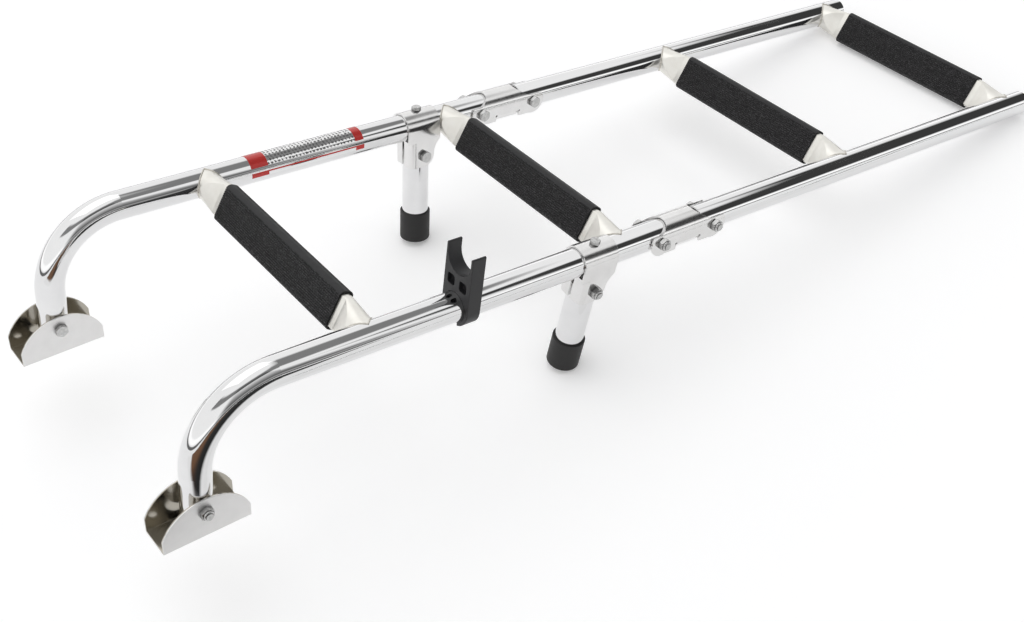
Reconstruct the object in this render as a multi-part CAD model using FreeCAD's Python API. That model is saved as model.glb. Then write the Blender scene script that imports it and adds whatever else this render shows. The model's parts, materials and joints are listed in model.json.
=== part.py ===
import FreeCAD, Part
import math
import os
from FreeCAD import Placement, Rotation, Vector

# Folding boat ladder, in millimetres.
#
# It is drawn in the ladder's own frame: X runs along the rungs with the front rail at +X, Y runs
# down the rails from the mounting brackets to the far end, and Z stands off the rails on the side
# that folds shut. The origin is on the upper hinge pivot, midway between the rails. At the end the
# ladder is leaned until its leg caps and the far ends of its rails touch one floor.
# The front half is drawn and the rear half is its mirror image.

# Rails
tube_d = 25.4
tube_wall = 1.2
rail_spacing = 255.0
bend_radius = 65.0
bracket_drop = 95.5          # from the rail's axis down to the bracket bolt
tube_past_bolt = 13.0        # how far a tube end runs past its bolt

# Steps, measured along the rails
rung_2_to_pivot = 38.0
upper_pitch = 255.0
bracket_to_rung_1 = 146.0
pivot_to_rung_3 = 188.0
lower_pitch = 255.0
rung_4_to_end = 27.0

# Rungs: round tubes, pressed flat between the rails and turned so that the flat is a tread
rung_d = 25.4
rung_wall = 1.2
rung_flat_width = 33.0
rung_flat_thickness = 12.0
rung_flat_margin = 2.5       # flat that shows past each end of its tread
rung_press_length = 15.0     # from the flat back to the round end
rung_waist = 0.45            # how far it is pressed halfway along that length
rung_lean = 26.0             # degrees from square across the rails
weld_gap = 0.05

# Treads: ribbed sleeves pushed over the flats, open along the back
tread_length = 181.0
tread_width = 36.8
tread_depth = 17.0
tread_corner = 4.5
tread_slot = 15.0
tread_clearance = 0.15
rib_pitch = 2.0
rib_depth = 0.6
rib_count = 13
groove_slope = 0.4
groove_floor = 0.4

# Bolts and nuts
bolt_d = 6.0
bolt_clearance = 0.05
head_flats = 10.0
head_height = 4.0
nut_height = 4.2
nut_collar = 1.8
nut_collar_d = 8.8
nut_collar_round = 1.1
bolt_end = 0.8               # thread past the nut
corner_slope = 30.0          # degrees that the corners of heads and nuts are turned down

# Mounting brackets
bracket_length = 73.0
bracket_height = 38.0
bracket_side_height = 13.5
bracket_bolt_height = 25.5
bracket_tilt = 4.0           # degrees that each bracket hangs from square to the rails
bracket_sheet = 2.0
bracket_side_gap = 0.5
screw_hole_d = 6.5
screw_spacing = 50.0
drain_slot_length = 27.0
drain_slot_width = 13.5

# Hinge links
pivot_pitch = 63.0
link_sheet = 1.8
link_gap = 0.4
ear_radius = 12.5
link_low_edge = 11.7         # below the pivots
link_fold = 72.0             # degrees that the link turns on the upper rails
lower_fold = 110.5           # degrees that the lower rails then turn on the link
web_margin = 0.3             # left between the web's ends and the folded rails
tab_margin = 17.5            # from each pivot to the bent-in part of the sides
tab_bend_line = 6.0
tab_turn = 32.0
relief_hole_d = 2.6

# Legs and their clamps
leg_station = 69.0           # before the upper pivot
leg_turn = 6.0               # degrees that each clamp is turned inward on its rail
leg_drop = 27.5              # from the rail's axis down to the leg bolt
leg_length = 92.7            # from the leg bolt to the foot
leg_head = 6.0               # tube above the leg bolt
clamp_length = 36.0
clamp_wall = 1.6
clamp_gap = 0.3
clamp_corner = 6.5           # where its sides turn in behind the leg
clamp_slot = 3.0             # left open between the turned-in sides
lug_radius = 11.0            # of its sides round the leg bolt
screw_d = 5.0
screw_flats = 8.0
screw_head = 3.4
screw_inside = 2.0           # thread that shows inside the rail
cap_height = 30.0
cap_wall = 1.8
cap_floor = 4.0
cap_gap = 0.1
cap_round = 2.5

# Storage clip on the front rail
clip_station = 205.0         # before the upper pivot
clip_depth = 12.6
clip_wall = 3.6
clip_gap = 0.2
clip_jaw_gap = 1.5
clip_arm = 7.5               # arm above the middle of the open jaw
clip_tip_round = 0.9
clip_mouth = 10.0            # opening between the hooks under the rail
clip_height = 44.6           # from the rail's axis to the middle of the open jaw
pocket_width = 9.0
pocket_height = 9.5
pocket_depth = 4.0
pocket_spacing = 15.0
pocket_round = 2.4

# How often the search for the ladder's lean halves its range
halvings = 60

# Worked out from the sizes above
tube_r = tube_d / 2
rung_flat_length = tread_length + 2 * rung_flat_margin
rail_x = rail_spacing / 2
rung_1_y = -rung_2_to_pivot - upper_pitch
rung_2_y = -rung_2_to_pivot
rung_3_y = pivot_pitch + pivot_to_rung_3
rung_4_y = rung_3_y + lower_pitch
rail_end_y = rung_4_y + rung_4_to_end
bracket_y = rung_1_y - bracket_to_rung_1
bolt_r = bolt_d / 2
hole_r = bolt_r + bolt_clearance
clamp_inner_r = tube_r + clamp_gap
clamp_outer_r = clamp_inner_r + clamp_wall
cap_r = tube_r + cap_gap + cap_wall
link_half_inner = tube_r + link_gap
link_half_outer = link_half_inner + link_sheet
X = Vector(1, 0, 0)
Y = Vector(0, 1, 0)
Z = Vector(0, 0, 1)
ORIGIN = Vector(0, 0, 0)


def cylinder(radius, start, along, length):
    return Part.makeCylinder(radius, length, start, along)


def cross_hole(y, z, reach):
    """A bolt hole along X through whatever stands within reach of X = 0."""
    return cylinder(hole_r, Vector(-reach, y, z), X, 2 * reach)


def box(x, y, z):
    """A box from its low and high limits on each axis."""
    return Part.makeBox(x[1] - x[0], y[1] - y[0], z[1] - z[0], Vector(x[0], y[0], z[0]))


def extrude(edges, along):
    return Part.Face(Part.Wire(edges)).extrude(along)


def hexagon(flats, start, along, height):
    """A hexagonal head or nut with its outer corners turned down."""
    corner_r = flats / math.sqrt(3)
    corners = [Rotation(Z, 60 * i).multVec(Vector(corner_r, 0, 0)) for i in range(7)]
    prism = Part.Face(Part.makePolygon(corners)).extrude(Vector(0, 0, height))
    # a cone through the middle of each upper side takes the corners down
    cone_r = flats / 2 + height / math.tan(math.radians(corner_slope))
    turned = prism.common(Part.makeCone(cone_r, flats / 2, height))
    turned.Placement = Placement(start, Rotation(Z, along))
    return turned


def bolt_and_nut(y, z, half_grip):
    """A bolt across the rail from its inner side, and the locking nut on its outer side."""
    shank_length = 2 * half_grip + nut_height + nut_collar + bolt_end
    shank = cylinder(bolt_r, Vector(-half_grip, y, z), X, shank_length)
    head = hexagon(head_flats, Vector(-half_grip, y, z), -X, head_height)
    bolt = head.fuse(shank).removeSplitter()
    nut = hexagon(head_flats, Vector(half_grip, y, z), X, nut_height)
    collar = cylinder(nut_collar_d / 2, Vector(half_grip + nut_height, y, z), X, nut_collar)
    rim = [edge for edge in collar.Edges if edge.BoundBox.XMin > half_grip + nut_height + nut_collar / 2]
    collar = collar.makeFillet(nut_collar_round, rim[:1])
    nut = nut.fuse(collar).cut(cross_hole(y, z, 2 * half_grip)).removeSplitter()
    return bolt, nut


def upper_rail():
    """A long straight tube with a quarter bend down to the bracket."""
    bend_y = bracket_y + bend_radius
    foot_z = -bracket_drop - tube_past_bolt
    straight = Part.LineSegment(Vector(0, tube_past_bolt, 0), Vector(0, bend_y, 0))
    mid = bend_radius * math.sqrt(0.5)
    bend = Part.Arc(Vector(0, bend_y, 0), Vector(0, bend_y - mid, mid - bend_radius),
                    Vector(0, bracket_y, -bend_radius))
    foot = Part.LineSegment(Vector(0, bracket_y, -bend_radius), Vector(0, bracket_y, foot_z))
    path = Part.Wire([straight.toShape(), bend.toShape(), foot.toShape()])
    solids = []
    for radius in (tube_r, tube_r - tube_wall):
        section = Part.Wire(Part.makeCircle(radius, Vector(0, tube_past_bolt, 0), Y))
        solids.append(path.makePipeShell([section], True, False))
    tube = solids[0].cut(solids[1])
    screw_hole = cylinder(screw_d / 2 + bolt_clearance, ORIGIN, Z, tube_d)
    screw_hole.rotate(ORIGIN, Y, leg_turn)
    screw_hole.translate(Vector(0, -leg_station, 0))
    tube = tube.cut(screw_hole)
    tube = tube.cut(cross_hole(0, 0, tube_d))
    return tube.cut(cross_hole(bracket_y, -bracket_drop, tube_d))


def lower_rail():
    start = pivot_pitch - tube_past_bolt
    length = rail_end_y - start
    tube = cylinder(tube_r, Vector(0, start, 0), Y, length)
    tube = tube.cut(cylinder(tube_r - tube_wall, Vector(0, start, 0), Y, length))
    return tube.cut(cross_hole(pivot_pitch, 0, tube_d))


def pressed(share, inset, x):
    """The rung's section across X, from round at share 0 to fully pressed at share 1.

    Its faces look along Y and its rounded edges along Z; inset draws it inward all round.
    """
    round_r = rung_d / 2 - inset
    half_t = rung_flat_thickness / 2 - inset
    half_w = rung_flat_width / 2 - inset
    eighth = round_r * math.sqrt(0.5)
    face_y = round_r + share * (half_t - round_r)
    edge_z = round_r + share * (half_w - round_r)
    corner_y = eighth + share * (half_t - eighth)
    corner_z = eighth + share * (half_w - half_t - eighth)
    edges = []
    for side in (1, -1):
        low = Vector(x, side * corner_y, -side * corner_z)
        high = Vector(x, side * corner_y, side * corner_z)
        across = Vector(x, -side * corner_y, side * corner_z)
        if share < 1:
            edges.append(Part.Arc(low, Vector(x, side * face_y, 0), high).toShape())
        else:
            edges.append(Part.makeLine(low, high))
        edges.append(Part.Arc(high, Vector(x, 0, side * edge_z), across).toShape())
    return Part.Wire(edges)


def rung_body(inset):
    """The rung from rail to rail, drawn inward by inset all round."""
    flat_x = rung_flat_length / 2
    round_x = flat_x + rung_press_length
    body = Part.Face(pressed(1, inset, -flat_x)).extrude(Vector(2 * flat_x, 0, 0))
    ends = []
    for side in (-1, 1):
        stations = [(1, flat_x), (rung_waist, (flat_x + round_x) / 2), (0, round_x)]
        ends.append(Part.makeLoft([pressed(share, inset, side * x) for share, x in stations], True))
        ends.append(cylinder(rung_d / 2 - inset, Vector(side * round_x, 0, 0), X * side, rail_x - round_x))
    return body.multiFuse(ends)


def rung(y):
    """A pressed tube whose ends are cut to lie against both rails."""
    tube = rung_body(0).cut(rung_body(rung_wall))
    tube.rotate(ORIGIN, X, -rung_lean)
    tube.translate(Vector(0, y, 0))
    for x in (-rail_x, rail_x):
        tube = tube.cut(cylinder(tube_r + weld_gap, Vector(x, y - tube_d, 0), Y, 2 * tube_d))
    return tube


def tread(y):
    """A ribbed sleeve over the flat, with its slot on the side away from the foot."""
    half_w = tread_width / 2
    front = -tread_depth / 2
    back = tread_depth / 2
    c = tread_corner
    x = -tread_length / 2
    outline = []
    ribs_half = rib_pitch * rib_count / 2
    # up the ribbed face, which looks towards -Y before the rung is leaned
    points = [Vector(x, front, -half_w + c), Vector(x, front, -ribs_half)]
    for i in range(rib_count):
        low = -ribs_half + i * rib_pitch
        points.append(Vector(x, front + rib_depth, low + groove_slope))
        points.append(Vector(x, front + rib_depth, low + groove_slope + groove_floor))
        points.append(Vector(x, front, low + 2 * groove_slope + groove_floor))
        points.append(Vector(x, front, low + rib_pitch))
    points.append(Vector(x, front, half_w - c))
    outline.extend(Part.makePolygon(points).Edges)
    k = c * (1 - math.sqrt(0.5))
    outline.append(Part.Arc(Vector(x, front, half_w - c), Vector(x, front + k, half_w - k),
                            Vector(x, front + c, half_w)).toShape())
    outline.append(Part.makeLine(Vector(x, front + c, half_w), Vector(x, back - c, half_w)))
    outline.append(Part.Arc(Vector(x, back - c, half_w), Vector(x, back - k, half_w - k),
                            Vector(x, back, half_w - c)).toShape())
    outline.append(Part.makeLine(Vector(x, back, half_w - c), Vector(x, back, -half_w + c)))
    outline.append(Part.Arc(Vector(x, back, -half_w + c), Vector(x, back - k, -half_w + k),
                            Vector(x, back - c, -half_w)).toShape())
    outline.append(Part.makeLine(Vector(x, back - c, -half_w), Vector(x, front + c, -half_w)))
    outline.append(Part.Arc(Vector(x, front + c, -half_w), Vector(x, front + k, -half_w + k),
                            Vector(x, front, -half_w + c)).toShape())
    sleeve = extrude(outline, Vector(tread_length, 0, 0))
    hollow = Part.Face(pressed(1, -tread_clearance, x))
    sleeve = sleeve.cut(hollow.extrude(Vector(tread_length, 0, 0)))
    sleeve = sleeve.cut(box((x, -x), (0, tread_depth), (-tread_slot / 2, tread_slot / 2)))
    sleeve.rotate(ORIGIN, X, -rung_lean)
    sleeve.translate(Vector(0, y, 0))
    return sleeve


def bracket():
    """A folded channel with two round-topped ears, drawn with its bolt at the origin."""
    inner = tube_r + bracket_side_gap
    outer = inner + bracket_sheet
    half = bracket_length / 2
    low = -bracket_bolt_height
    shoulder = low + bracket_side_height
    top = low + bracket_height
    outline = [Part.makeLine(Vector(-outer, -half, low), Vector(-outer, half, low)),
               Part.makeLine(Vector(-outer, half, low), Vector(-outer, half, shoulder)),
               Part.Arc(Vector(-outer, half, shoulder), Vector(-outer, 0, top),
                        Vector(-outer, -half, shoulder)).toShape(),
               Part.makeLine(Vector(-outer, -half, shoulder), Vector(-outer, -half, low))]
    body = extrude(outline, Vector(2 * outer, 0, 0))
    folds = [edge for edge in body.Edges
             if edge.BoundBox.ZMax < low + 0.01 and edge.BoundBox.XLength < 0.01]
    body = body.makeFillet(bracket_sheet, folds)
    body = body.cut(box((-inner, inner), (-half, half), (low + bracket_sheet, top)))
    body = body.cut(cross_hole(0, 0, 2 * outer))
    for y in (-screw_spacing / 2, screw_spacing / 2):
        body = body.cut(cylinder(screw_hole_d / 2, Vector(0, y, low), Z, bracket_sheet))
    slot_r = drain_slot_width / 2
    slot_y = drain_slot_length / 2 - slot_r
    for y in (-slot_y, slot_y):
        body = body.cut(cylinder(slot_r, Vector(0, y, low), Z, bracket_sheet))
    return body.cut(box((-slot_r, slot_r), (-slot_y, slot_y), (low, low + bracket_sheet)))


def hinge_link():
    """An inverted channel over the gap between the rails, pivoted on both."""
    side = Part.Face(Part.Wire(Part.makeCircle(ear_radius, ORIGIN, X)))
    plate = side.extrude(Vector(2 * link_half_outer, 0, 0))
    plate.translate(Vector(-link_half_outer, 0, 0))
    far_ear = plate.copy()
    far_ear.translate(Vector(0, pivot_pitch, 0))
    middle = box((-link_half_outer, link_half_outer), (0, pivot_pitch), (-link_low_edge, link_half_outer))
    body = plate.multiFuse([far_ear, middle])
    # the folded section, round over the rails
    reach = 2 * ear_radius
    length = pivot_pitch + 2 * reach
    outer = cylinder(link_half_outer, Vector(0, -reach, 0), Y, length)
    outer = outer.fuse(box((-link_half_outer, link_half_outer), (-reach, length - reach), (-reach, 0)))
    inner = cylinder(link_half_inner, Vector(0, -reach, 0), Y, length)
    inner = inner.fuse(box((-link_half_inner, link_half_inner), (-reach, length - reach), (-reach, 0)))
    body = body.common(outer.cut(inner))
    # each end is cut to the rail there as it stands up through the web when folded
    for y, side, turn in ((0, -1, 180 - link_fold), (pivot_pitch, 1, lower_fold)):
        folded = cylinder(tube_r + web_margin, ORIGIN, Y, length)
        behind = sorted((0, -side * length))
        folded = folded.fuse(box((-link_half_inner, link_half_inner), (0, length), behind))
        folded.rotate(ORIGIN, X, turn)
        folded.translate(Vector(0, y, 0))
        body = body.cut(folded)
        beyond = sorted((y, y + side * length))
        body = body.cut(box((-link_half_inner, link_half_inner), beyond, (0, 2 * link_half_outer)))
    # between the pivots the lower edges are bent inward, with a relief hole at each end
    tab = (tab_margin, pivot_pitch - tab_margin)
    body = body.cut(box((-link_half_outer, link_half_outer), tab, (-link_low_edge, -tab_bend_line)))
    for side_x in (-1, 1):
        drop = link_low_edge - tab_bend_line
        shift = drop * math.tan(math.radians(tab_turn))
        corners = [(link_half_inner, -tab_bend_line), (link_half_outer, -tab_bend_line),
                   (link_half_outer - shift, -link_low_edge), (link_half_inner - shift, -link_low_edge)]
        points = [Vector(side_x * x, tab[0], z) for x, z in corners]
        flange = Part.Face(Part.makePolygon(points + points[:1])).extrude(Vector(0, tab[1] - tab[0], 0))
        body = body.fuse(flange)
    for y in tab:
        body = body.cut(cylinder(relief_hole_d / 2, Vector(-2 * link_half_outer, y, -tab_bend_line), X,
                                 4 * link_half_outer))
    body = body.cut(cross_hole(0, 0, 2 * link_half_outer))
    return body.cut(cross_hole(pivot_pitch, 0, 2 * link_half_outer)).removeSplitter()


def leg_clamp():
    """A strap over the rail whose sides run down and turn in behind the leg; its bolt is at Y = 0."""
    half = clamp_length / 2
    low = -leg_drop - lug_radius
    strap = cylinder(clamp_outer_r, Vector(0, -half, 0), Y, clamp_length)
    strap = strap.fuse(box((-clamp_outer_r, clamp_outer_r), (-half, half), (-clamp_inner_r, 0)))
    strap = strap.cut(cylinder(clamp_inner_r, Vector(0, -half, 0), Y, clamp_length))
    strap = strap.cut(box((-clamp_inner_r, clamp_inner_r), (-half, half), (-2 * clamp_outer_r, 0)))
    outer = box((-clamp_outer_r, clamp_outer_r), (-clamp_outer_r, half), (low, -clamp_inner_r))
    inner = box((-clamp_inner_r, clamp_inner_r), (-clamp_inner_r, 2 * half), (low, -clamp_inner_r))
    outer = outer.makeFillet(clamp_corner, back_corners(outer, -clamp_outer_r))
    inner = inner.makeFillet(clamp_corner - clamp_wall, back_corners(inner, -clamp_inner_r))
    socket = outer.cut(inner)
    # the sides narrow in a hollow sweep from the strap to the round lug
    rise = leg_drop - clamp_inner_r
    run = half - lug_radius
    sweep_r = (run * run + rise * rise) / (2 * run)
    turn = math.asin(rise / sweep_r) / 2
    sweep_mid = (lug_radius + sweep_r * (1 - math.cos(turn)), -leg_drop + sweep_r * math.sin(turn))
    lug_mid = lug_radius * math.sqrt(0.5)
    outline = [Part.makeLine(Vector(0, -half, -clamp_inner_r), Vector(0, -half, low)),
               Part.makeLine(Vector(0, -half, low), Vector(0, 0, low)),
               Part.Arc(Vector(0, 0, low), Vector(0, lug_mid, -leg_drop - lug_mid),
                        Vector(0, lug_radius, -leg_drop)).toShape(),
               Part.Arc(Vector(0, lug_radius, -leg_drop), Vector(0, sweep_mid[0], sweep_mid[1]),
                        Vector(0, half, -clamp_inner_r)).toShape(),
               Part.makeLine(Vector(0, half, -clamp_inner_r), Vector(0, -half, -clamp_inner_r))]
    sides = extrude(outline, Vector(2 * clamp_outer_r, 0, 0))
    sides.translate(Vector(-clamp_outer_r, 0, 0))
    body = strap.fuse(socket.common(sides))
    body = body.cut(box((-clamp_slot / 2, clamp_slot / 2), (-2 * half, 0), (low, -clamp_inner_r)))
    body = body.cut(cylinder(screw_d / 2 + bolt_clearance, ORIGIN, Z, 2 * clamp_outer_r))
    return body.cut(cross_hole(0, -leg_drop, 2 * clamp_outer_r)).removeSplitter()


def back_corners(block, y):
    """The two upright edges of a block at its bracket end."""
    return [edge for edge in block.Edges
            if edge.BoundBox.YMax < y + 0.01 and edge.BoundBox.XLength < 0.01]


def clamp_screw():
    """The screw through the strap and the rail's wall."""
    start = tube_r - tube_wall - screw_inside
    shank = cylinder(screw_d / 2, Vector(0, 0, start), Z, clamp_outer_r - start)
    head = hexagon(screw_flats, Vector(0, 0, clamp_outer_r), Z, screw_head)
    return shank.fuse(head).removeSplitter()


def leg():
    """A tube with a rounded head, so that it can swing out of the clamp away from the brackets."""
    bottom = -leg_drop - leg_length + cap_floor + cap_gap
    length = -leg_drop + leg_head - bottom
    tube = cylinder(tube_r, Vector(0, 0, bottom), Z, length)
    tube = tube.cut(cylinder(tube_r - tube_wall, Vector(0, 0, bottom), Z, length))
    below = box((-tube_d, tube_d), (-tube_d, tube_d), (bottom, -leg_drop))
    head = cylinder(tube_r, Vector(-tube_d, 0, -leg_drop), X, 2 * tube_d)
    tube = tube.common(below.fuse(head))
    return tube.cut(cross_hole(0, -leg_drop, tube_d))


def leg_cap():
    """A rubber cup over the foot of the leg."""
    low = -leg_drop - leg_length
    cup = cylinder(cap_r, Vector(0, 0, low), Z, cap_height)
    rim = [edge for edge in cup.Edges if edge.BoundBox.ZMax < low + 0.01]
    cup = cup.makeFillet(cap_round, rim)
    return cup.cut(cylinder(tube_r + cap_gap, Vector(0, 0, low + cap_floor), Z, cap_height))


def storage_clip():
    """A moulded clip: hooks round the rail below and an open jaw for the folded rail above."""
    bore = tube_r + clip_gap
    half = bore + clip_wall
    jaw = tube_r + clip_jaw_gap
    top = clip_height + clip_arm
    depth = (-clip_depth / 2, clip_depth / 2)
    body = box((-half, half), depth, (0, top))
    body = body.fuse(cylinder(half, Vector(0, depth[0], 0), Y, clip_depth))
    body = body.cut(cylinder(bore, Vector(0, depth[0], 0), Y, clip_depth))
    body = body.cut(cylinder(jaw, Vector(0, depth[0], clip_height), Y, clip_depth))
    body = body.cut(box((-jaw, jaw), depth, (clip_height, 2 * top)))
    body = body.cut(box((-clip_mouth / 2, clip_mouth / 2), depth, (-half, 0)))
    tips = [edge for edge in body.Edges
            if edge.BoundBox.ZMin > top - 0.01 and edge.BoundBox.XLength < 0.01]
    body = body.makeFillet(clip_tip_round, tips)
    middle = (bore + clip_height - jaw) / 2
    for x in (-pocket_spacing / 2, pocket_spacing / 2):
        for y in (depth[0], depth[1] - pocket_depth):
            pocket = box((x - pocket_width / 2, x + pocket_width / 2), (y, y + pocket_depth),
                         (middle - pocket_height / 2, middle + pocket_height / 2))
            along = [edge for edge in pocket.Edges if edge.BoundBox.YLength > pocket_depth / 2]
            body = body.cut(pocket.makeFillet(pocket_round, along))
    return body.removeSplitter()


def lean_to_floor():
    """The angle, in radians, at which the leg caps and the rail ends touch one floor."""
    def gap(lean):
        down = -math.cos(math.radians(leg_turn)) * math.cos(lean)
        bolt = leg_station * math.sin(lean) + leg_drop * down
        foot = bolt + (leg_length - cap_round) * down
        foot = foot - (cap_r - cap_round) * math.sqrt(1 - down * down) - cap_round
        end = -rail_end_y * math.sin(lean) - tube_r * math.cos(lean)
        return foot - end
    low = 0.0
    high = math.pi / 4
    for step in range(halvings):
        middle = (low + high) / 2
        if gap(middle) < 0:
            low = middle
        else:
            high = middle
    return (low + high) / 2


lean = lean_to_floor()
floor_turn = Rotation(X, -math.degrees(lean))


def front_side(shape, turn=0.0, y=0.0):
    """Places a piece drawn about the rail's axis on the front rail, turned about that axis."""
    placed = shape.copy()
    placed.rotate(ORIGIN, Y, turn)
    placed.translate(Vector(rail_x, y, 0))
    return placed


def hang_bracket(shape):
    """Hangs a bracket from its bolt on the front rail."""
    placed = shape.copy()
    placed.rotate(ORIGIN, X, bracket_tilt)
    placed.translate(Vector(rail_x, bracket_y, -bracket_drop))
    return placed


def build():
    """Every piece by name, in the ladder's own frame."""
    sided = {}
    sided["upper_rail"] = front_side(upper_rail())
    sided["lower_rail"] = front_side(lower_rail())
    sided["bracket"] = hang_bracket(bracket())
    bolt, nut = bolt_and_nut(0, 0, tube_r + bracket_side_gap + bracket_sheet)
    sided["bracket_bolt"] = hang_bracket(bolt)
    sided["bracket_nut"] = hang_bracket(nut)
    sided["hinge_link"] = front_side(hinge_link())
    for name, y in (("upper_pivot", 0), ("lower_pivot", pivot_pitch)):
        bolt, nut = bolt_and_nut(y, 0, link_half_outer)
        sided[name + "_bolt"] = front_side(bolt)
        sided[name + "_nut"] = front_side(nut)
    sided["leg_clamp"] = front_side(leg_clamp(), leg_turn, -leg_station)
    sided["clamp_screw"] = front_side(clamp_screw(), leg_turn, -leg_station)
    sided["leg"] = front_side(leg(), leg_turn, -leg_station)
    sided["leg_cap"] = front_side(leg_cap(), leg_turn, -leg_station)
    bolt, nut = bolt_and_nut(0, -leg_drop, clamp_outer_r)
    sided["leg_bolt"] = front_side(bolt, leg_turn, -leg_station)
    sided["leg_nut"] = front_side(nut, leg_turn, -leg_station)
    parts = {}
    for name, shape in sided.items():
        parts[name + "_front"] = shape
        parts[name + "_rear"] = shape.mirror(ORIGIN, X)
    for number, y in enumerate((rung_1_y, rung_2_y, rung_3_y, rung_4_y), start=1):
        parts["rung_%d" % number] = rung(y)
        parts["tread_%d" % number] = tread(y)
    parts["storage_clip"] = front_side(storage_clip(), 0.0, -clip_station)
    return parts


def floor_shift(parts):
    """The move that puts the middle of the leaned ladder over the origin and its feet on Z = 0."""
    low_y = min(shape.BoundBox.YMin for shape in parts.values())
    high_y = max(shape.BoundBox.YMax for shape in parts.values())
    low_z = -rail_end_y * math.sin(lean) - tube_r * math.cos(lean)
    return Vector(0, -(low_y + high_y) / 2, -low_z)


def stand(parts):
    """Leans every piece and sets the ladder on the floor."""
    for shape in parts.values():
        shape.Placement = Placement(ORIGIN, floor_turn).multiply(shape.Placement)
    shift = floor_shift(parts)
    for shape in parts.values():
        shape.translate(shift)
    return shift


def main():
    os.makedirs("parts", exist_ok=True)
    parts = build()
    shift = stand(parts)
    for name, shape in parts.items():
        shape.exportStep(os.path.join("parts", name + ".step"))
    volume = sum(shape.Volume for shape in parts.values())
    print("pieces %d, volume %.0f mm3, lean %.3f degrees" % (len(parts), volume, math.degrees(lean)))
    return parts, shift


if __name__ == "__main__":
    main()
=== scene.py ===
import json
import math

import bpy
from mathutils import Matrix, Vector


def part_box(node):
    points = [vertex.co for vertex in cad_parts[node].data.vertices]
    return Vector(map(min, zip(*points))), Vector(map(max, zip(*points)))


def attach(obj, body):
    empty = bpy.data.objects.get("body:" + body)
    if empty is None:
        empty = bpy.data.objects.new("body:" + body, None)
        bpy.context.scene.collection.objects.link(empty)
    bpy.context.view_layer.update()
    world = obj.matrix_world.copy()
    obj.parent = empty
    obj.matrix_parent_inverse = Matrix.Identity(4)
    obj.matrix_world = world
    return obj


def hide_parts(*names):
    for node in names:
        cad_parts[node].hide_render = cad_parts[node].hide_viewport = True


# Looks of the folding boat ladder, in metres, in the same frame as its solids.
#
# New pieces are modelled in the ladder's own frame: X runs along the steps, Y down the rails from
# the upper hinge pivot, and Z stands off the rails. LADDER then leans them onto the floor.

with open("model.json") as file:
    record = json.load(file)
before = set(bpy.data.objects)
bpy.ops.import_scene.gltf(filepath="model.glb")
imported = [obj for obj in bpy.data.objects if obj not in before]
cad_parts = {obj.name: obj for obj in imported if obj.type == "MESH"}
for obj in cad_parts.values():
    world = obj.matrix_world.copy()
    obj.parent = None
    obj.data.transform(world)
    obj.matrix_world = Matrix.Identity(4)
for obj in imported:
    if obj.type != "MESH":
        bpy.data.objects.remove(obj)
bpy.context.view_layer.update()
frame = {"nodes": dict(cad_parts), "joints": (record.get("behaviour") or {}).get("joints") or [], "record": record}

MM = 0.001
joint_at = {joint["name"]: Vector(joint["pos_m"]) for joint in frame["joints"]}
upper_pivot = joint_at["link_fold"]
down_rail = (joint_at["lower_fold"] - upper_pivot).normalized()
off_rail = Vector((1, 0, 0)).cross(down_rail)
ladder_axes = Matrix((Vector((1, 0, 0)), down_rail, off_rail)).transposed()
LADDER = Matrix.Translation(upper_pivot) @ ladder_axes.to_4x4()
lean = math.atan2(-down_rail.z, down_rail.y)

# Sizes of the solids that the new pieces meet
tube_r = 12.7 * MM
rail_x = joint_at["bracket_front_swing"].x
rung_names = ("rung_1", "rung_2", "rung_3", "rung_4")
rung_lean = math.radians(26)

# Rungs: round where they meet the rails, widened and pressed flat between them
rung_round_x = 117 * MM
rung_flat_x = 94 * MM
rung_half_width = 15.6 * MM
rung_half_depth = 10.6 * MM
rung_rings = 12
press_face = 5.2 * MM
press_start_x = 114 * MM
press_start_y = 12.7 * MM
press_end_x = 95 * MM
press_tool_depth = 40 * MM
press_tool_width = 60 * MM
press_overrun = 20 * MM
press_merge = 0.03 * MM
fine_merge = 0.01 * MM
crease_round = 1.3 * MM
weld_gap = 0.05 * MM
bead_r = 0.85 * MM
bead_segments = 96
bead_ripples = 30

# Treads: ribbed sleeves over the flats, with a slot along the back
tread_length = 177 * MM
tread_half_width = 17.4 * MM
tread_half_depth = 6.9 * MM
tread_corner = 4.9 * MM
tread_wall = 1.5 * MM
tread_slot = 15 * MM
rib_pitch = 1.9 * MM
rib_depth = 0.5 * MM
rib_count = 15
rib_slope = 0.49
groove_step = 0.18           # of a rib's pitch: a groove's two slopes and its floor are one step each

# Smooth strip along the upper edge of each tread, by height off the rails, and its fine pattern
tread_smooth_low = 15.2 * MM
tread_smooth_high = 15.7 * MM
tread_dot_pitch = 1.25 * MM

# Brackets: how far from the rail's middle the outer faces begin, and where on the rails they hang
bracket_ear_outside = 14.2 * MM
brackets_beyond = -380 * MM

# Label wrapped round the rear rail
label_start = -253 * MM
label_end = -136 * MM
label_red_long = 17 * MM
label_red_short = 9 * MM
label_thickness = 0.12 * MM
label_low_edge = -6.3 * MM
label_field_low = 6.6 * MM
label_line_high = 2.7 * MM
label_line_low = 1.3 * MM
label_stroke = 3.6 * MM
label_row = 2.9 * MM

# Camera, fitted to the photograph, from the upper hinge pivot
camera_place = upper_pivot + Vector((0.80017, -0.65066, 0.76059))
camera_turn = (46.506, 3.163, 53.672)
camera_lens = 48.578
camera_shift = (0.0539, 0.0305)

# Floor, the soft lamp above it, and the sheets beside the ladder from one corner to the other
floor_size = 14.0
lamp_place = (-0.7, -0.2, 1.9)
lamp_size = 1.6
lamp_power = 3.0
sheet_height = 0.002
edge_strip_corners = ((0.36, -0.28), (0.39, 1.4))
near_table_corners = ((0.2, -1.6), (4.0, 0.4))

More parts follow.
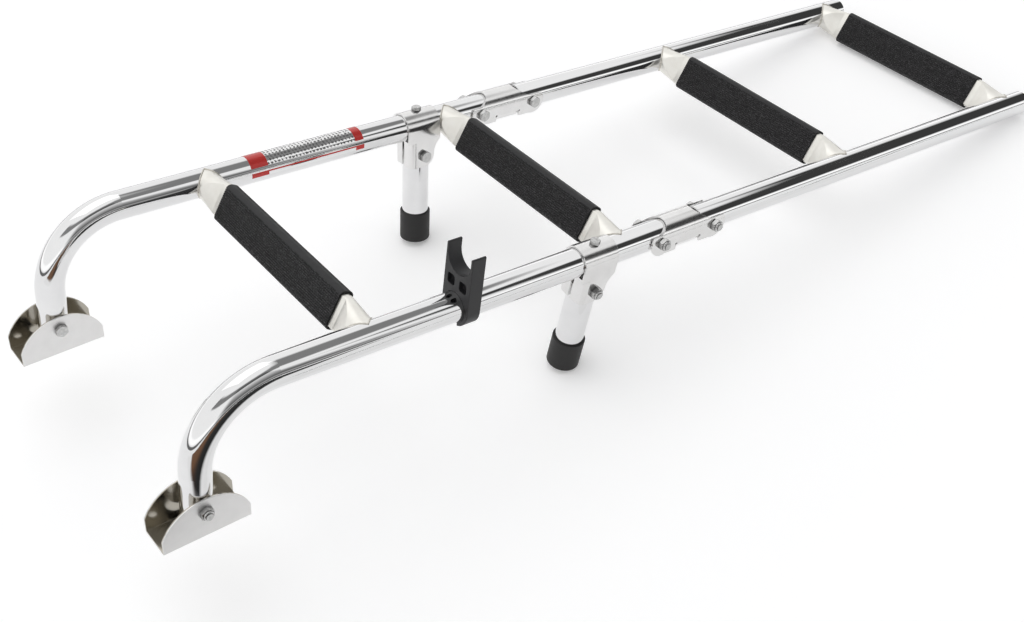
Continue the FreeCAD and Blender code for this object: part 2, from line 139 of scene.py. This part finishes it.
# What the tubes mirror of the room. Heights are sines, turns are from the ladder's far end, and each
# band has the pair of values over which it comes in and the pair over which it goes.
far_turn = ((math.radians(-23), math.radians(-12)), (math.radians(45), math.radians(51)))
near_turn = ((math.radians(53), math.radians(60)), (math.radians(104), math.radians(118)))
grey_turn = (-0.7, -0.4)
dark_heights = ((0.19, 0.27), (0.545, 0.60))
grey_heights = ((0.68, 0.73), (0.84, 0.90))
near_heights = ((-0.12, -0.06), (0.2, 0.95))
horizon_heights = ((-0.03, -0.01), (0.035, 0.06))
bright_heights = ((0.06, 0.10), (0.16, 0.22))
room_light = 1.05
seen_white = 0.97


# Shader arithmetic

class Socket:
    """A shader socket that Python arithmetic can use."""

    def __init__(self, finish, socket):
        self.finish = finish
        self.socket = socket

    def __add__(self, other):
        return self.finish.maths("ADD", self, other)

    def __sub__(self, other):
        return self.finish.maths("SUBTRACT", self, other)

    def __rsub__(self, other):
        return self.finish.maths("SUBTRACT", other, self)

    def __mul__(self, other):
        return self.finish.maths("MULTIPLY", self, other)

    def __gt__(self, other):
        return self.finish.maths("GREATER_THAN", self, other)

    def __lt__(self, other):
        return self.finish.maths("LESS_THAN", self, other)

    __radd__ = __add__
    __rmul__ = __mul__


class Finish:
    """A node tree that a finish is written in."""

    def __init__(self, tree):
        self.tree = tree

    def node(self, kind, settings=None, inputs=None, output=0):
        made = self.tree.nodes.new(kind)
        for name, value in (settings or {}).items():
            setattr(made, name, value)
        for name, value in (inputs or {}).items():
            self.feed(made, name, value)
        return Socket(self, made.outputs[output])

    def feed(self, made, name, value):
        slot = next(s for s in made.inputs if name in (s.identifier, s.name))
        if isinstance(value, Socket):
            self.tree.links.new(value.socket, slot)
        else:
            slot.default_value = value

    def maths(self, operation, first, second=0.0):
        return self.node("ShaderNodeMath", {"operation": operation}, {"Value": first, "Value_001": second})

    def step(self, value, low, high):
        """0 below low, 1 above high, smooth between them."""
        return self.node("ShaderNodeMapRange", {"interpolation_type": "SMOOTHSTEP"},
                         {"Value": value, "From Min": low, "From Max": high})

    def between(self, value, band):
        """1 within a band of values, 0 outside it, with soft edges."""
        comes, goes = band
        return self.step(value, *comes) * (1 - self.step(value, *goes))

    def mix(self, factor, first, second):
        return self.node("ShaderNodeMix", {"data_type": "RGBA"},
                         {"Factor_Float": factor, "A_Color": first, "B_Color": second}, 2)

    def noise(self, place, scale, detail):
        return self.node("ShaderNodeTexNoise", {}, {"Vector": place, "Scale": scale, "Detail": detail})

    def bump(self, height, strength, distance):
        return self.node("ShaderNodeBump", {},
                         {"Height": height, "Strength": strength, "Distance": distance})

    def soft_edges(self, radius, height, strength, distance):
        """A bump over edges that the light sees as rounded."""
        edges = self.node("ShaderNodeBevel", {"samples": 4}, {"Radius": radius})
        return self.node("ShaderNodeBump", {},
                         {"Height": height, "Strength": strength, "Distance": distance, "Normal": edges})

    def place(self):
        """The place on the object, in metres."""
        return self.node("ShaderNodeTexCoord", {}, {}, 3)

    def ladder_place(self):
        """The place on the ladder, in metres, in the ladder's own frame."""
        return self.node("ShaderNodeMapping", {"vector_type": "TEXTURE"},
                         {"Vector": self.place(), "Location": upper_pivot, "Rotation": (-lean, 0, 0)})

    def parts_of(self, place):
        split = self.tree.nodes.new("ShaderNodeSeparateXYZ")
        self.feed(split, "Vector", place)
        return [Socket(self, out) for out in split.outputs]

    def stretched(self, place, along):
        """The same place with the pattern drawn out along the rails or the steps."""
        return self.node("ShaderNodeMapping", {"vector_type": "POINT"}, {"Vector": place, "Scale": along})


def start_material(name, metallic=0.0, roughness=0.5):
    """A new material, the tree that its finish is written in, and its surface shader."""
    material = bpy.data.materials.new(name)
    material.use_nodes = True
    finish = Finish(material.node_tree)
    surface = material.node_tree.nodes["Principled BSDF"]
    surface.inputs["Metallic"].default_value = metallic
    surface.inputs["Roughness"].default_value = roughness
    return material, finish, surface


def grey(value):
    return (value, value, value, 1)


# Finishes

def mirror_steel():
    """Rails and legs: polished tube with faint smears and long polishing lines."""
    material, f, surface = start_material("mirror_steel", metallic=1.0)
    place = f.ladder_place()
    smears = f.noise(f.stretched(place, (1.0, 0.25, 1.0)), 60.0, 4.0)
    lines = f.noise(f.stretched(place, (1.0, 0.02, 1.0)), 900.0, 2.0)
    f.feed(surface, "Base Color", f.mix(smears, (0.72, 0.72, 0.725, 1), (0.80, 0.80, 0.80, 1)))
    f.feed(surface, "Roughness", 0.03 + 0.05 * f.step(smears, 0.45, 0.75) + 0.02 * lines)
    f.feed(surface, "Normal", f.bump(lines, 0.02, 0.0001))
    return material


def sheet_steel():
    """Brackets, links and clamps: folded sheet, polished less than the tube, with softened edges, and a painted
    reflection that colours the inner faces of the bracket ears a dull brown.
    """
    material, f, surface = start_material("sheet_steel", metallic=1.0)
    place = f.ladder_place()
    smears = f.noise(place, 90.0, 4.0)
    lines = f.noise(f.stretched(place, (1.0, 0.05, 1.0)), 1200.0, 2.0)
    along, down, _ = f.parts_of(place)
    from_rail = f.maths("ABSOLUTE", f.maths("ABSOLUTE", along) - rail_x)
    # Painted reflection: the inner faces of the bracket ears, nearer the rail than their outer faces, are coloured
    # a dull brown for the dark surroundings they would mirror.
    inside = (from_rail < bracket_ear_outside) * (down < brackets_beyond)
    steel = f.mix(smears, (0.70, 0.695, 0.69, 1), (0.80, 0.795, 0.79, 1))
    f.feed(surface, "Base Color", f.mix(inside, steel, (0.42, 0.395, 0.345, 1)))
    outer = (from_rail > bracket_ear_outside) * (down < brackets_beyond)
    f.feed(surface, "Roughness", 0.09 + 0.08 * smears + 0.04 * lines + 0.24 * outer)
    f.feed(surface, "Normal", f.soft_edges(0.35 * MM, lines, 0.03, 0.0001))
    return material


def satin_steel():
    """Pressed rungs: dull, slightly warm steel with the streaks of the press."""
    material, f, surface = start_material("satin_steel", metallic=1.0)
    place = f.ladder_place()
    cloud = f.noise(place, 120.0, 5.0)
    grain = f.noise(f.stretched(place, (0.15, 1.0, 1.0)), 900.0, 3.0)
    f.feed(surface, "Base Color", f.mix(cloud, (0.70, 0.68, 0.63, 1), (0.86, 0.85, 0.81, 1)))
    f.feed(surface, "Roughness", 0.24 + 0.14 * cloud + 0.06 * grain)
    f.feed(surface, "Normal", f.bump(cloud * 0.7 + grain * 0.3, 0.2, 0.0006))
    return material


def weld_steel():
    """Weld beads: rippled steel, straw and grey from the heat."""
    material, f, surface = start_material("weld_steel", metallic=1.0)
    place = f.ladder_place()
    cloud = f.noise(place, 260.0, 4.0)
    f.feed(surface, "Base Color", f.mix(cloud, (0.42, 0.40, 0.36, 1), (0.80, 0.77, 0.70, 1)))
    f.feed(surface, "Roughness", 0.22 + 0.2 * cloud)
    f.feed(surface, "Normal", f.bump(cloud, 0.35, 0.0006))
    return material


def bolt_steel():
    """Bolts, nuts and screws: bright plated steel with small dents and dull patches, and painted shade nearly
    black in their crevices.
    """
    material, f, surface = start_material("bolt_steel", metallic=1.0)
    place = f.place()
    cloud = f.noise(place, 500.0, 4.0)
    # Painted shade: ambient occlusion finds crevices and the seats of heads and nuts, and the colour there is
    # painted nearly black.
    openness_for_painted_shade = f.node("ShaderNodeAmbientOcclusion", {"samples": 8}, {"Distance": 5 * MM}, 1)
    steel = f.mix(cloud, (0.26, 0.26, 0.26, 1), (0.74, 0.74, 0.73, 1))
    f.feed(surface, "Base Color", f.mix(f.step(openness_for_painted_shade, 0.35, 0.95), grey(0.05), steel))
    f.feed(surface, "Roughness", 0.12 + 0.2 * cloud)
    f.feed(surface, "Normal", f.soft_edges(0.3 * MM, cloud, 0.12, 0.0004))
    return material


def tread_rubber():
    """Sleeves on the steps: black rubber, dotted across the long ribs, smoother along the upper edge."""
    material, f, surface = start_material("tread_rubber", roughness=0.7)
    place = f.ladder_place()
    along, down, off = f.parts_of(place)
    smooth_edge = f.step(off, tread_smooth_low, tread_smooth_high)
    dots = f.maths("SINE", along * (2 * math.pi / tread_dot_pitch)) * (1 - smooth_edge)
    cloud = f.noise(place, 220.0, 3.0)
    rows = f.maths("SINE", (off + down * rib_slope) * (2 * math.pi / rib_pitch))
    specks = f.step(f.noise(place, 950.0, 0.0) + 0.10 * dots + 0.05 * rows, 0.54, 0.70) * (1 - smooth_edge)
    body = f.mix(cloud, (0.0045, 0.0045, 0.0048, 1), (0.011, 0.011, 0.0115, 1))
    body = f.mix(specks, body, (0.060, 0.058, 0.061, 1))
    f.feed(surface, "Base Color", f.mix(smooth_edge, body, (0.022, 0.022, 0.023, 1)))
    f.feed(surface, "Roughness", 0.62 + 0.2 * cloud - 0.12 * smooth_edge)
    f.feed(surface, "Normal", f.soft_edges(0.5 * MM, dots * 0.5 + cloud * 0.6, 0.5, 0.0004))
    surface.inputs["Specular IOR Level"].default_value = 0.35
    return material


def cap_rubber():
    """Caps on the legs: smooth dark rubber, scuffed."""
    material, f, surface = start_material("cap_rubber", roughness=0.55)
    place = f.place()
    cloud = f.noise(place, 160.0, 4.0)
    f.feed(surface, "Base Color", f.mix(cloud, (0.008, 0.008, 0.008, 1), (0.019, 0.018, 0.018, 1)))
    f.feed(surface, "Roughness", 0.42 + 0.25 * cloud)
    f.feed(surface, "Normal", f.soft_edges(0.5 * MM, f.noise(place, 1500.0, 2.0), 0.1, 0.0002))
    surface.inputs["Specular IOR Level"].default_value = 0.4
    return material


def clip_plastic():
    """Storage clip: moulded black plastic with a fine skin."""
    material, f, surface = start_material("clip_plastic", roughness=0.5)
    place = f.place()
    skin = f.noise(place, 2200.0, 2.0)
    cloud = f.noise(place, 150.0, 3.0)
    f.feed(surface, "Base Color", f.mix(cloud, (0.008, 0.008, 0.009, 1), (0.018, 0.018, 0.020, 1)))
    f.feed(surface, "Roughness", 0.36 + 0.2 * cloud)
    f.feed(surface, "Normal", f.soft_edges(0.9 * MM, skin, 0.15, 0.0002))
    surface.inputs["Specular IOR Level"].default_value = 0.45
    return material


def label_print():
    """Label on the rear rail: bright foil with red ends, and grey hatching over a red line between them."""
    material, f, surface = start_material("label_print")
    place = f.ladder_place()
    along, down, off = f.parts_of(place)
    wobble = f.noise(place, 420.0, 2.0)
    ends = f.maths("MAXIMUM", down < (label_start + label_red_long), down > (label_end - label_red_short))
    upper = off > label_field_low
    lower = off < label_line_high
    line = lower * (off > label_line_low)
    strokes = f.maths("SINE", (down + off * 0.5 + wobble * 0.004) * (2 * math.pi / label_stroke)) > -0.1
    arc = f.maths("ARCTAN2", off, along + rail_x) * tube_r
    rows = f.maths("SINE", (arc + wobble * 0.002) * (2 * math.pi / label_row)) > -0.5
    red = f.maths("MAXIMUM", ends * f.maths("MAXIMUM", upper, lower), line)
    ink = f.maths("MAXIMUM", red, upper * strokes * rows)
    f.feed(surface, "Base Color", f.mix(ink, grey(0.80), f.mix(red, grey(0.12), (0.50, 0.018, 0.014, 1))))
    f.feed(surface, "Metallic", 1.0 - 0.75 * ink)
    f.feed(surface, "Roughness", 0.07 + 0.20 * ink)
    surface.inputs["Coat Weight"].default_value = 0.35
    surface.inputs["Coat Roughness"].default_value = 0.05
    return material


def floor_paper():
    """White paper under the ladder."""
    material, _, surface = start_material("floor_paper", roughness=0.9)
    surface.inputs["Base Color"].default_value = (0.93, 0.93, 0.935, 1)
    surface.inputs["Specular IOR Level"].default_value = 0.1
    surface.inputs["Emission Color"].default_value = (1, 1, 1, 1)
    surface.inputs["Emission Strength"].default_value = 0.20
    return material


def finish_nodes(satin, sheet, rubber):
    """Every solid gets the finish of its slot, or the one that goes with its name."""
    finishes = {"polished_steel": mirror_steel(), "satin_steel": satin, "hardware": bolt_steel(),
                "clip_plastic": clip_plastic(), "rubber": rubber}
    by_name = {"leg_cap": cap_rubber(), "bracket_front": sheet, "bracket_rear": sheet, "hinge_link": sheet,
               "leg_clamp": sheet}
    for part in frame["record"]["subparts"]:
        node = frame["nodes"][part["node"]]
        material = finishes[part["material_slot"]]
        for start, finish in by_name.items():
            if part["node"].startswith(start):
                material = finish
        node.data.materials.clear()
        node.data.materials.append(material)


# Modelling

def deselect():
    for chosen in bpy.context.selected_objects:
        chosen.select_set(False)


def choose(piece):
    """Makes a piece the active one and the only one that is selected."""
    deselect()
    piece.select_set(True)
    bpy.context.view_layer.objects.active = piece


def started(name):
    """The primitive that was just added, with a name."""
    made = bpy.context.object
    made.name = name
    made.data.name = name
    return made


def set_in_ladder(piece, material, body):
    """Leans a piece from the ladder's own frame to its place, and gives it its finish and its body."""
    choose(piece)
    piece.matrix_world = LADDER
    bpy.ops.object.transform_apply(location=True, rotation=True, scale=True)
    piece.data.materials.clear()
    piece.data.materials.append(material)
    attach(piece, body)
    deselect()
    return piece


def apply_modifier(piece, kind, **settings):
    """Adds a modifier and applies it."""
    modifier = piece.modifiers.new(kind.title(), kind)
    for name, value in settings.items():
        setattr(modifier, name, value)
    bpy.context.view_layer.objects.active = piece
    bpy.ops.object.modifier_apply(modifier=modifier.name)


def pick(piece, wanted):
    """Selects the points of a piece whose place is wanted, and goes into edit mode."""
    bpy.context.view_layer.objects.active = piece
    bpy.ops.object.mode_set(mode="EDIT")
    bpy.ops.mesh.select_mode(type="VERT")
    bpy.ops.mesh.select_all(action="DESELECT")
    bpy.ops.object.mode_set(mode="OBJECT")
    for point in piece.data.vertices:
        point.select = wanted(point.co)
    bpy.ops.object.mode_set(mode="EDIT")


def copied(piece, name):
    """A copy with its own mesh."""
    choose(piece)
    bpy.ops.object.duplicate(linked=False)
    return started(name)


def placed(piece, move=(0, 0, 0), turn_x=0.0, mirror_x=False):
    """Turns a piece about X, mirrors it over X = 0 and moves it, all within its mesh."""
    choose(piece)
    piece.rotation_euler = (turn_x, 0, 0)
    piece.scale = (-1 if mirror_x else 1, 1, 1)
    piece.location = move
    bpy.ops.object.transform_apply(location=True, rotation=True, scale=True)
    if mirror_x:
        bpy.ops.object.mode_set(mode="EDIT")
        bpy.ops.mesh.select_all(action="SELECT")
        bpy.ops.mesh.normals_make_consistent(inside=False)
        bpy.ops.object.mode_set(mode="OBJECT")
    return piece


def rung_place(name):
    """How far down the rails a rung lies, and the body that carries it."""
    low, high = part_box(name)
    station = (LADDER.inverted() @ ((Vector(low) + Vector(high)) / 2)).y
    return station, "upper_frame" if station < 0 else "lower_frame"


def cut_with(piece, cutter):
    """Cuts a piece with another, which is then thrown away."""
    choose(piece)
    apply_modifier(piece, "BOOLEAN", operation="DIFFERENCE", solver="EXACT", object=cutter)
    bpy.data.objects.remove(cutter, do_unlink=True)


def merge_points(piece, reach):
    """Joins points that lie within reach of each other and turns all faces outwards."""
    choose(piece)
    bpy.ops.object.mode_set(mode="EDIT")
    bpy.ops.mesh.select_all(action="SELECT")
    bpy.ops.mesh.remove_doubles(threshold=reach)
    bpy.ops.mesh.normals_make_consistent(inside=False)
    bpy.ops.object.mode_set(mode="OBJECT")


def drop_faces(piece, unwanted):
    """Deletes the faces of a piece that are unwanted."""
    bpy.ops.object.mode_set(mode="EDIT")
    bpy.ops.mesh.select_mode(type="FACE")
    bpy.ops.mesh.select_all(action="DESELECT")
    bpy.ops.object.mode_set(mode="OBJECT")
    for face in piece.data.polygons:
        face.select = unwanted(face)
    bpy.ops.object.mode_set(mode="EDIT")
    bpy.ops.mesh.delete(type="FACE")
    bpy.ops.object.mode_set(mode="OBJECT")


def press_tool(side):
    """A block with the sloped ends and the flat face that press one side of a rung."""
    deselect()
    bpy.ops.mesh.primitive_cube_add(size=1, location=(0, side * (press_face + press_tool_depth / 2), 0),
                                    scale=(2 * press_end_x, press_tool_depth, press_tool_width))
    tool = started("press_tool")
    bpy.ops.object.transform_apply(location=True, rotation=True, scale=True)
    for end in (-1, 1):
        pick(tool, lambda co: co.x * end > press_end_x - MM)
        bpy.ops.mesh.extrude_region_move(
            TRANSFORM_OT_translate={"value": (end * (press_start_x - press_end_x), 0, 0)})
        bpy.ops.object.mode_set(mode="OBJECT")
        pick(tool, lambda co: co.x * end > press_start_x - MM and abs(co.y) < press_face + MM)
        bpy.ops.transform.translate(value=(0, side * (press_start_y - press_face), 0))
        bpy.ops.object.mode_set(mode="OBJECT")
        slope = (press_start_y - press_face) / (press_start_x - press_end_x)
        pick(tool, lambda co: co.x * end > press_start_x - MM)
        bpy.ops.mesh.extrude_region_move(TRANSFORM_OT_translate={"value": (end * press_overrun, 0, 0)})
        bpy.ops.object.mode_set(mode="OBJECT")
        beyond = press_start_x + press_overrun / 2
        pick(tool, lambda co: co.x * end > beyond and abs(co.y) < press_start_y + MM)
        bpy.ops.transform.translate(value=(0, side * slope * press_overrun, 0))
        bpy.ops.object.mode_set(mode="OBJECT")
    return tool


def pressed_rung():
    """A tube widened and pressed on both sides, turned on its axis, its ends cut to lie against the rails."""
    deselect()
    bpy.ops.mesh.primitive_cylinder_add(vertices=96, radius=tube_r, depth=2 * rail_x,
                                        rotation=(0, math.pi / 2, 0))
    rung = started("rung_pressed")
    bpy.ops.object.transform_apply(location=True, rotation=True, scale=True)
    shares = [i / rung_rings for i in range(rung_rings + 1)]
    rings = [(rung_round_x + share * (rung_flat_x - rung_round_x), share) for share in shares]
    for x, share in rings:
        for side in (-1, 1):
            bpy.ops.object.mode_set(mode="EDIT")
            bpy.ops.mesh.select_all(action="SELECT")
            bpy.ops.mesh.bisect(plane_co=(side * x, 0, 0), plane_no=(1, 0, 0))
            bpy.ops.object.mode_set(mode="OBJECT")
    for x, share in rings:
        wide = 1 + share * (rung_half_width / tube_r - 1)
        deep = 1 + share * (rung_half_depth / tube_r - 1)
        pick(rung, lambda co: abs(abs(co.x) - x) < 0.01 * MM)
        bpy.ops.transform.resize(value=(1, deep, wide), center_override=(0, 0, 0))
        bpy.ops.object.mode_set(mode="OBJECT")
    for side in (-1, 1):
        cut_with(rung, press_tool(side))
    merge_points(rung, press_merge)
    soften_creases(rung)
    placed(rung, turn_x=-rung_lean)
    for side in (-1, 1):
        deselect()
        bpy.ops.mesh.primitive_cylinder_add(vertices=192, radius=tube_r + weld_gap, depth=80 * MM,
                                            rotation=(math.pi / 2, 0, 0), location=(side * rail_x, 0, 0))
        cut_with(rung, started("rail_cutter"))
    merge_points(rung, fine_merge)
    return rung


def soften_creases(rung):
    """Rounds the outlines of the pressed faces."""
    apply_modifier(rung, "BEVEL", width=crease_round, segments=3, limit_method="ANGLE",
                   angle_limit=math.radians(14), use_clamp_overlap=True)


def lay_rungs(satin):
    """Four pressed rungs, each over its solid."""
    first = pressed_rung()
    for name in rung_names:
        station, body = rung_place(name)
        rung = copied(first, name + "_pressed")
        placed(rung, move=(0, station, 0))
        bpy.ops.object.shade_smooth_by_angle(angle=math.radians(24))
        set_in_ladder(rung, satin, body)
        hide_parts(name)
    bpy.data.objects.remove(first, do_unlink=True)


def ribbed_tread():
    """A rounded sleeve with long ribs on its front, which looks towards -Y, and a slot along its back."""
    deselect()
    bpy.ops.mesh.primitive_cube_add(size=1)
    tread = started("tread_ribbed")
    tread.scale = (tread_length, 2 * tread_half_depth, 2 * tread_half_width)
    bpy.ops.object.transform_apply(location=True, rotation=True, scale=True)
    bpy.ops.object.mode_set(mode="EDIT")
    bpy.ops.mesh.select_mode(type="EDGE")
    bpy.ops.mesh.select_all(action="DESELECT")
    bpy.ops.object.mode_set(mode="OBJECT")
    points = tread.data.vertices
    for edge in tread.data.edges:
        edge.select = abs(points[edge.vertices[0]].co.x - points[edge.vertices[1]].co.x) > tread_length / 2
    bpy.ops.object.mode_set(mode="EDIT")
    bpy.ops.mesh.bevel(offset=tread_corner, segments=6, affect="EDGES")
    # the ends are opened, then the grooves between the ribs are cut and sunk
    drop_faces(tread, lambda face: abs(face.normal.x) > 0.9)
    ribs_low = -rib_pitch * rib_count / 2
    for i in range(rib_count + 1):
        for cut in range(4):
            z = ribs_low + (i + cut * groove_step) * rib_pitch
            if i < rib_count or cut == 0:
                pick(tread, lambda co: co.y < 0)
                bpy.ops.mesh.bisect(plane_co=(0, 0, z), plane_no=(0, 0, 1))
                bpy.ops.object.mode_set(mode="OBJECT")
    for i in range(rib_count):
        low = ribs_low + (i + groove_step / 2) * rib_pitch
        high = low + 2 * groove_step * rib_pitch
        pick(tread, lambda co: co.y < 0 and low < co.z < high)
        bpy.ops.transform.translate(value=(0, rib_depth, 0))
        bpy.ops.object.mode_set(mode="OBJECT")
    # the slot along the back, then the wall
    for z in (-tread_slot / 2, tread_slot / 2):
        pick(tread, lambda co: co.y > tread_half_depth - 0.1 * MM)
        bpy.ops.mesh.bisect(plane_co=(0, 0, z), plane_no=(0, 0, 1))
        bpy.ops.object.mode_set(mode="OBJECT")
    drop_faces(tread, lambda face: face.normal.y > 0.9 and abs(face.center.z) < tread_slot / 2)
    merge_points(tread, fine_merge)
    apply_modifier(tread, "SOLIDIFY", thickness=tread_wall, offset=-1.0, use_even_offset=False)
    return tread


def lay_treads(rubber):
    """Four sleeves, each over the flat of its rung."""
    first = ribbed_tread()
    for number, name in enumerate(rung_names, start=1):
        station, body = rung_place(name)
        tread = copied(first, "tread_%d_ribbed" % number)
        placed(tread, move=(0, station, 0), turn_x=-rung_lean)
        bpy.ops.object.shade_smooth_by_angle(angle=math.radians(28))
        set_in_ladder(tread, rubber, body)
        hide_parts("tread_%d" % number)
    bpy.data.objects.remove(first, do_unlink=True)


def weld_bead():
    """A rippled bead round the end of a rung, lying in the corner between rung and rail."""
    deselect()
    bpy.ops.mesh.primitive_torus_add(major_radius=tube_r, minor_radius=bead_r, major_segments=bead_segments,
                                     minor_segments=12, rotation=(0, math.pi / 2, 0), location=(rail_x, 0, 0))
    bead = started("weld_bead")
    bpy.ops.object.transform_apply(location=True, rotation=True, scale=True)
    near = math.cos(math.pi / bead_segments)
    for i in range(bead_segments):
        turn = 2 * math.pi * i / bead_segments
        y = tube_r * math.cos(turn)
        z = tube_r * math.sin(turn)
        spoke = Vector((0, y, z)).normalized()
        from_middle = math.sqrt(max(tube_r ** 2 - z ** 2, 0))
        pick(bead, lambda co: Vector((0, co.y, co.z)).normalized().dot(spoke) > near)
        bpy.ops.transform.translate(value=(-from_middle, 0, 0))
        swell = 1 + 0.16 * math.sin(turn * bead_ripples)
        bpy.ops.transform.resize(value=(swell, swell, swell), center_override=(rail_x - from_middle, y, z))
        bpy.ops.object.mode_set(mode="OBJECT")
    return bead


def lay_beads():
    """A bead at both ends of each rung."""
    finish = weld_steel()
    first = weld_bead()
    for name in rung_names:
        station, body = rung_place(name)
        for end in ("front", "rear"):
            bead = copied(first, "weld_bead_%s_%s" % (name[-1], end))
            placed(bead, move=(0, station, 0), mirror_x=end == "rear")
            bpy.ops.object.shade_smooth()
            set_in_ladder(bead, finish, body)
    bpy.data.objects.remove(first, do_unlink=True)


def rail_label():
    """A printed label wrapped over the top and the inner side of the rear rail."""
    deselect()
    length = label_end - label_start
    bpy.ops.mesh.primitive_cylinder_add(vertices=96, radius=tube_r + label_thickness, depth=length,
                                        end_fill_type="NOTHING", rotation=(math.pi / 2, 0, 0),
                                        location=(-rail_x, (label_start + label_end) / 2, 0))
    label = started("rail_label")
    bpy.ops.object.transform_apply(location=True, rotation=True, scale=True)
    bpy.ops.object.mode_set(mode="EDIT")
    bpy.ops.mesh.select_all(action="SELECT")
    bpy.ops.mesh.bisect(plane_co=(-rail_x, 0, label_low_edge), plane_no=(0.35, 0, -1), clear_outer=True)
    bpy.ops.object.mode_set(mode="OBJECT")
    apply_modifier(label, "SOLIDIFY", thickness=label_thickness * 0.8, offset=-1.0)
    bpy.ops.object.shade_smooth_by_angle(angle=math.radians(40))
    return set_in_ladder(label, label_print(), "upper_frame")


# Studio

def lay_floor():
    """The paper that the ladder stands on."""
    deselect()
    bpy.ops.mesh.primitive_plane_add(size=floor_size, location=(0, 0, 0))
    floor = started("floor")
    floor.data.materials.append(floor_paper())
    deselect()


def light_studio():
    """A white room whose far end and near side the tubes mirror as dark bands."""
    world = bpy.data.worlds.new("studio")
    bpy.context.scene.world = world
    world.use_nodes = True
    f = Finish(world.node_tree)
    background = world.node_tree.nodes["Background"]
    x, y, z = f.parts_of(f.node("ShaderNodeTexCoord", {}, {}, 0))
    turn = f.maths("ARCTAN2", x, y)
    dark_band = f.between(z, dark_heights) * f.between(turn, far_turn)
    grey_band = f.between(z, grey_heights) * f.step(turn, *grey_turn)
    near_dark = f.between(z, near_heights) * f.between(turn, near_turn)
    horizon = f.between(z, horizon_heights)
    dark = dark_band + 0.8 * grey_band + 0.9 * f.maths("MAXIMUM", horizon, near_dark)
    light = room_light + 0.25 * f.between(z, bright_heights) - dark
    seen = f.node("ShaderNodeLightPath", {}, {}, 0)
    room = f.mix(seen, f.node("ShaderNodeCombineColor", {}, {"Red": light, "Green": light, "Blue": light}),
                 grey(seen_white))
    f.feed(background, "Color", room)
    background.inputs["Strength"].default_value = 1.0


def add_card(name, corners, material):
    """A flat sheet on the floor that only mirrors show."""
    deselect()
    low, high = corners
    middle = ((low[0] + high[0]) / 2, (low[1] + high[1]) / 2, sheet_height)
    bpy.ops.mesh.primitive_plane_add(size=1, location=middle)
    card = started(name)
    card.scale = (high[0] - low[0], high[1] - low[1], 1)
    bpy.ops.object.transform_apply(location=True, rotation=True, scale=True)
    card.data.materials.append(material)
    card.visible_camera = False
    card.visible_diffuse = False
    card.visible_shadow = False
    deselect()


def dark_cloth():
    """Black strip beside the ladder."""
    material, _, surface = start_material("dark_cloth", roughness=1.0)
    surface.inputs["Base Color"].default_value = grey(0.03)
    return material


def table_edge():
    """Where the white paper ends beside the brackets: brown, then black, with soft edges."""
    material, f, surface = start_material("table_edge", roughness=1.0)
    x, y, _ = f.parts_of(f.place())
    far_side = 1 - f.step(y - 0.77 * x, -0.71, -0.65)
    near_side = f.step(x + 0.42 * y, -0.07, 0.02)
    beside = f.step(x, 0.215, 0.26)
    covered = far_side * near_side * beside
    brown = 1 - f.step(y, -0.78, -0.52)
    wood = f.mix(brown, grey(0.012), (0.17, 0.075, 0.03, 1))
    f.feed(surface, "Base Color", f.mix(covered, grey(0.93), wood))
    f.feed(surface, "Emission Color", f.mix(covered, grey(1.0), grey(0.0)))
    surface.inputs["Emission Strength"].default_value = 0.13
    return material


def lay_cards():
    """What lies beside the ladder, which its tubes mirror as thin lines and as the bends' stripes."""
    add_card("edge_strip", edge_strip_corners, dark_cloth())
    add_card("near_table", near_table_corners, table_edge())


def hang_lamp():
    """A soft square lamp overhead that looks at the middle of the floor."""
    deselect()
    bpy.ops.object.light_add(type="AREA", location=lamp_place)
    box = bpy.context.object
    box.name = "overhead"
    box.data.shape = "RECTANGLE"
    box.data.size = lamp_size
    box.data.size_y = lamp_size
    box.data.energy = lamp_power
    box.rotation_euler = (-Vector(lamp_place)).to_track_quat("-Z", "Y").to_euler()
    deselect()


def set_camera():
    """The camera at the photograph's angle."""
    deselect()
    bpy.ops.object.camera_add(location=camera_place, rotation=[math.radians(turn) for turn in camera_turn])
    camera = bpy.context.object
    camera.name = "camera"
    camera.data.sensor_width = 36.0
    camera.data.lens = camera_lens
    camera.data.shift_x = camera_shift[0]
    camera.data.shift_y = camera_shift[1]
    bpy.context.scene.camera = camera
    deselect()


satin = satin_steel()
rubber = tread_rubber()
finish_nodes(satin, sheet_steel(), rubber)
lay_rungs(satin)
lay_treads(rubber)
lay_beads()
rail_label()
lay_floor()
light_studio()
lay_cards()
hang_lamp()
set_camera()
bpy.context.scene.view_settings.view_transform = "Standard"
